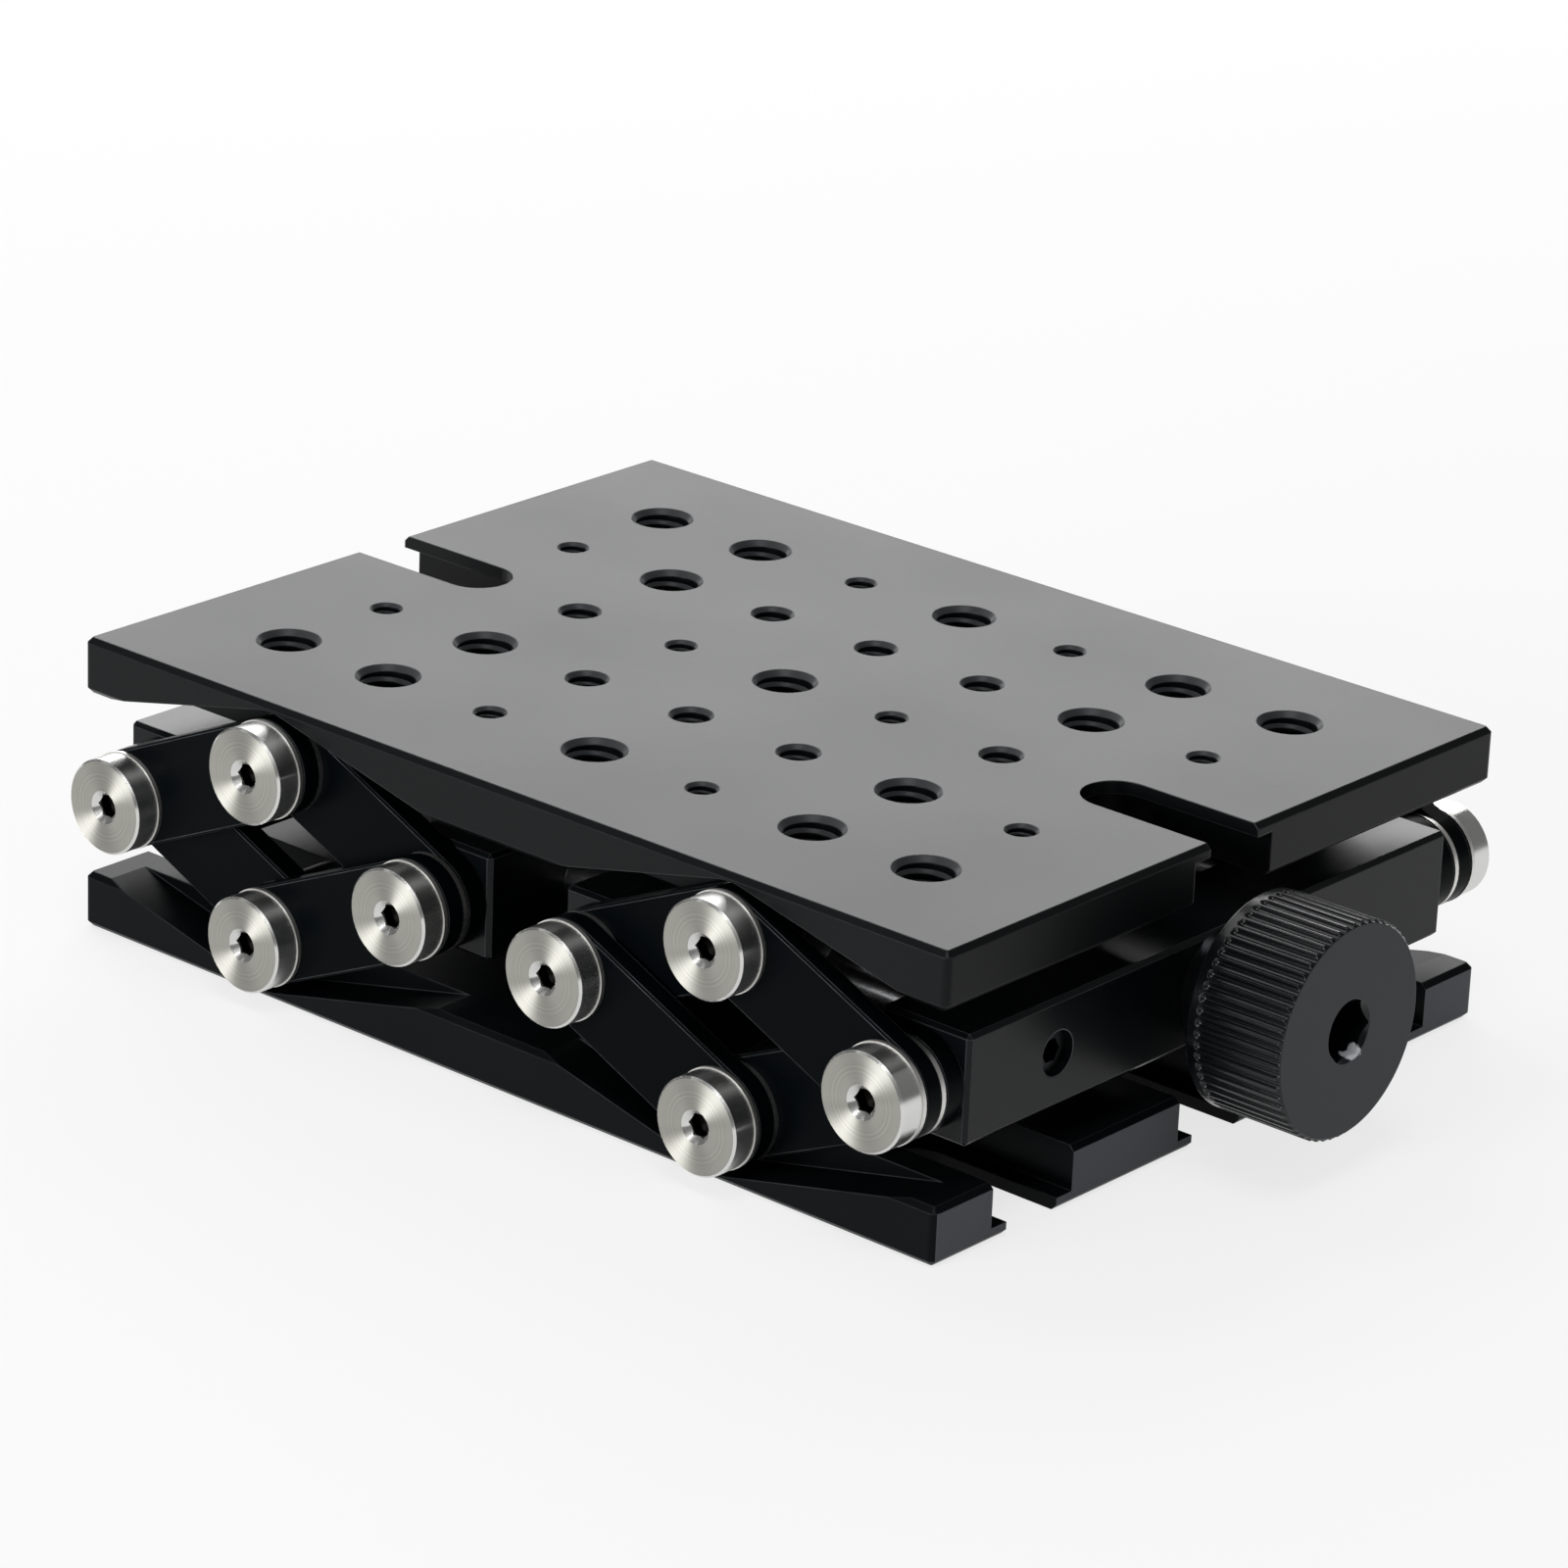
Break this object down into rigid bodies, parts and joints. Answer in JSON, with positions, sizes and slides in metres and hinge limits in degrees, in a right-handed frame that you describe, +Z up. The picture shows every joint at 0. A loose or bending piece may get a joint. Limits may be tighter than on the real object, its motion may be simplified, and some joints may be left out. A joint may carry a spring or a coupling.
{
  "type": "scissor lab jack",
  "caption": "Low scissor lab jack: a tapped platform raised level over a slotted base by flat-bar linkages, crossbars and a lead screw with a knurled knob.",
  "frame": {"origin": "middle of the base's underside", "axes": "+X along the jack towards the knob, +Y across it, +Z up"},
  "size_m": [0.1144, 0.0818, 0.028],
  "materials": {
    "black_anodised_aluminium": "satin black anodised",
    "stainless_steel": "turned",
    "bright_steel": "ground",
    "black_steel": "black oxide",
    "bronze": "machined"
  },
  "bodies": {
    "base": {"base_plate": "black_anodised_aluminium", "base_pivot_screws": "stainless_steel", "base_pivot_washers": "stainless_steel", "base_head_washers": "stainless_steel"},
    "platform": {"platform": "black_anodised_aluminium", "platform_pivot_screws": "stainless_steel", "platform_pivot_washers": "stainless_steel", "platform_head_washers": "stainless_steel"},
    "drive_carriage": {"drive_crossbar": "black_anodised_aluminium", "screw_end_crossbar": "black_anodised_aluminium", "drive_tie_rods": "bright_steel", "drive_rod_set_screws": "black_steel", "drive_guide_bushes": "bronze", "drive_bush": "bronze", "screw_end_bush": "bronze", "thrust_washers": "black_steel", "drive_pivot_screws": "stainless_steel", "drive_pivot_washers": "stainless_steel", "drive_head_washers": "stainless_steel"},
    "nut_carriage": {"nut_crossbar": "black_anodised_aluminium", "far_crossbar": "black_anodised_aluminium", "nut_tie_rods": "bright_steel", "nut_rod_set_screws": "black_steel", "nut_guide_bushes": "bronze", "lead_nut": "bronze", "nut_pivot_screws": "stainless_steel", "nut_pivot_washers": "stainless_steel", "nut_head_washers": "stainless_steel"},
    "lead_screw": {"lead_screw": "bright_steel", "knob": "black_anodised_aluminium", "retaining_collar": "bright_steel", "cross_pins": "bright_steel"},
    "right_lower_outboard_links": {"lower_outboard_links_right": "black_anodised_aluminium"},
    "right_lower_inboard_links": {"lower_inboard_links_right": "black_anodised_aluminium"},
    "right_upper_outboard_links": {"upper_outboard_links_right": "black_anodised_aluminium"},
    "right_upper_inboard_links": {"upper_inboard_links_right": "black_anodised_aluminium"},
    "left_lower_outboard_links": {"lower_outboard_links_left": "black_anodised_aluminium"},
    "left_lower_inboard_links": {"lower_inboard_links_left": "black_anodised_aluminium"},
    "left_upper_outboard_links": {"upper_outboard_links_left": "black_anodised_aluminium"},
    "left_upper_inboard_links": {"upper_inboard_links_left": "black_anodised_aluminium"}
  },
  "joints": [
    {"name": "scissor_lift", "type": "hinge", "parent": "base", "child": "right_lower_outboard_links", "pos_m": [0.027, 0, 0.006], "axis": [0, -1, 0], "range_deg": [-8.76, 40.97]},
    {"name": "drive_carriage_level", "type": "hinge", "parent": "right_lower_outboard_links", "child": "drive_carriage", "pos_m": [0.04478, 0, 0.014], "axis": [0, -1, 0], "range_deg": [-40.97, 8.76]},
    {"name": "right_upper_outboard_swing", "type": "hinge", "parent": "drive_carriage", "child": "right_upper_outboard_links", "pos_m": [0.04478, 0, 0.014], "axis": [0, -1, 0], "range_deg": [-40.97, 8.76]},
    {"name": "platform_level", "type": "hinge", "parent": "right_upper_outboard_links", "child": "platform", "pos_m": [0.027, 0, 0.022], "axis": [0, -1, 0], "range_deg": [-8.76, 40.97]},
    {"name": "right_lower_inboard_swing", "type": "hinge", "parent": "base", "child": "right_lower_inboard_links", "pos_m": [0.027, 0, 0.006], "axis": [0, -1, 0], "range_deg": [-40.97, 8.76]},
    {"name": "nut_carriage_level", "type": "hinge", "parent": "right_lower_inboard_links", "child": "nut_carriage", "pos_m": [0.00922, 0, 0.014], "axis": [0, -1, 0], "range_deg": [-8.76, 40.97]},
    {"name": "right_upper_inboard_swing", "type": "hinge", "parent": "nut_carriage", "child": "right_upper_inboard_links", "pos_m": [0.00922, 0, 0.014], "axis": [0, -1, 0], "range_deg": [-8.76, 40.97]},
    {"name": "left_lower_outboard_swing", "type": "hinge", "parent": "base", "child": "left_lower_outboard_links", "pos_m": [-0.027, 0, 0.006], "axis": [0, -1, 0], "range_deg": [-40.97, 8.76]},
    {"name": "left_lower_inboard_swing", "type": "hinge", "parent": "base", "child": "left_lower_inboard_links", "pos_m": [-0.027, 0, 0.006], "axis": [0, -1, 0], "range_deg": [-8.76, 40.97]},
    {"name": "left_upper_outboard_swing", "type": "hinge", "parent": "platform", "child": "left_upper_outboard_links", "pos_m": [-0.027, 0, 0.022], "axis": [0, -1, 0], "range_deg": [-8.76, 40.97]},
    {"name": "left_upper_inboard_swing", "type": "hinge", "parent": "platform", "child": "left_upper_inboard_links", "pos_m": [-0.027, 0, 0.022], "axis": [0, -1, 0], "range_deg": [-40.97, 8.76]},
    {"name": "knob_turn", "type": "hinge", "parent": "drive_carriage", "child": "lead_screw", "pos_m": [0.04478, 0, 0.014], "axis": [-1, 0, 0], "range_deg": [-1345.51, 6294.89]}
  ],
  "couplings": [
    {"joint": "drive_carriage_level", "follows": "scissor_lift", "ratio": -1},
    {"joint": "right_upper_outboard_swing", "follows": "scissor_lift", "ratio": -1},
    {"joint": "platform_level", "follows": "scissor_lift", "ratio": 1},
    {"joint": "right_lower_inboard_swing", "follows": "scissor_lift", "ratio": -1},
    {"joint": "nut_carriage_level", "follows": "scissor_lift", "ratio": 1},
    {"joint": "right_upper_inboard_swing", "follows": "scissor_lift", "ratio": 1},
    {"joint": "left_lower_outboard_swing", "follows": "scissor_lift", "ratio": -1},
    {"joint": "left_lower_inboard_swing", "follows": "scissor_lift", "ratio": 1},
    {"joint": "left_upper_outboard_swing", "follows": "scissor_lift", "ratio": 1},
    {"joint": "left_upper_inboard_swing", "follows": "scissor_lift", "ratio": -1},
    {"joint": "knob_turn", "follows": "scissor_lift", "ratio": 153.65}
  ]
}
